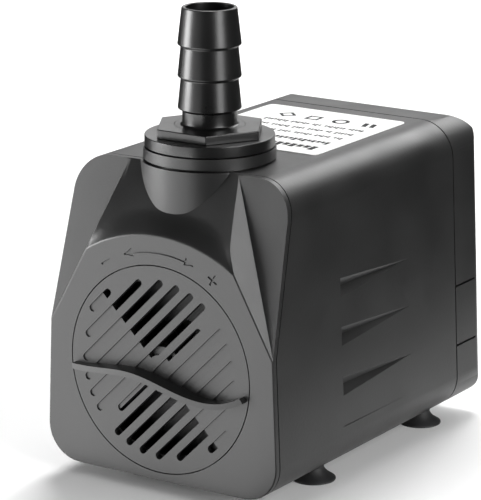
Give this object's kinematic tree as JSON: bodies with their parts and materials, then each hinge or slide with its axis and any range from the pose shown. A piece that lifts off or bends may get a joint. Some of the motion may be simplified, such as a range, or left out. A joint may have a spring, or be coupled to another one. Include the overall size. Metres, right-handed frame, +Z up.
{
  "type": "fountain submersible pump",
  "caption": "Small boxy submersible pump with a slotted flow dial in its sculpted front, a screw-in hose barb on top and rubber suction feet.",
  "frame": {"origin": "centre of the footprint, at the rims of the suction cups", "axes": "+X to the pump's left as it faces the viewer's right, across the front; +Y from the dial back to the cord gland; +Z up along the outlet"},
  "size_m": [0.0604, 0.097, 0.1057],
  "materials": {
    "abs_housing": "dark grey moulded ABS with a fine spark-eroded texture",
    "abs_nozzle": "darker grey moulded ABS, satin",
    "acetal_wheel": "natural acetal",
    "ferrite": "ground ferrite",
    "ceramic": "polished alumina ceramic",
    "rubber": "black nitrile rubber",
    "core_steel": "stacked silicon steel laminations",
    "nylon_bobbin": "natural nylon",
    "copper_wire": "enamelled copper wire",
    "tinned_pin": "tinned wire",
    "wire_insulation": "red insulated wire",
    "fuse_shell": "cream fuse shell",
    "potting": "black epoxy potting",
    "label_film": "white printed film"
  },
  "bodies": {
    "body": {"motor_housing": "abs_housing", "rear_cover": "abs_housing", "cord_gland": "rubber", "impeller_cover": "abs_housing", "chamber_seal": "rubber", "shaft": "ceramic", "front_shaft_seat": "rubber", "rear_shaft_seat": "rubber", "front_thrust_washer": "ceramic", "rear_thrust_washer": "ceramic", "stator_core": "core_steel", "coil_bobbin_left": "nylon_bobbin", "coil_bobbin_right": "nylon_bobbin", "winding_left": "copper_wire", "winding_right": "copper_wire", "terminal_pins": "tinned_pin", "coil_link": "wire_insulation", "thermal_fuse": "fuse_shell", "potting_resin": "potting", "rating_label": "label_film", "suction_cup_front_left": "rubber", "suction_cup_front_right": "rubber", "suction_cup_rear_left": "rubber", "suction_cup_rear_right": "rubber"},
    "cover": {"intake_cover": "abs_housing"},
    "dial": {"flow_dial": "abs_housing"},
    "rotor": {"impeller": "acetal_wheel", "rotor_sleeve": "acetal_wheel", "rotor_magnet": "ferrite"},
    "gasket": {"nozzle_gasket": "rubber"},
    "nozzle": {"outlet_nozzle": "abs_nozzle"}
  },
  "joints": [
    {"name": "cover_pull", "type": "slide", "parent": "body", "child": "cover", "axis": [0, -1, 0], "range_m": [0, 0.03]},
    {"name": "dial_turn", "type": "hinge", "parent": "cover", "child": "dial", "pos_m": [0, -0.04455, 0.0287], "axis": [0, -1, 0], "range_deg": [0, 90]},
    {"name": "rotor_spin", "type": "hinge", "parent": "body", "child": "rotor", "pos_m": [0, 0.00245, 0.0287], "axis": [0, 1, 0], "continuous": true},
    {"name": "nozzle_lift", "type": "slide", "parent": "body", "child": "gasket", "axis": [0, 0, 1], "range_m": [0, 0.024]},
    {"name": "nozzle_turn", "type": "hinge", "parent": "gasket", "child": "nozzle", "pos_m": [0, -0.02465, 0.0753], "axis": [0, 0, 1], "range_deg": [0, 3060]}
  ],
  "couplings": [
    {"joint": "nozzle_lift", "follows": "nozzle_turn", "m_per_rad": 0.00044563}
  ]
}
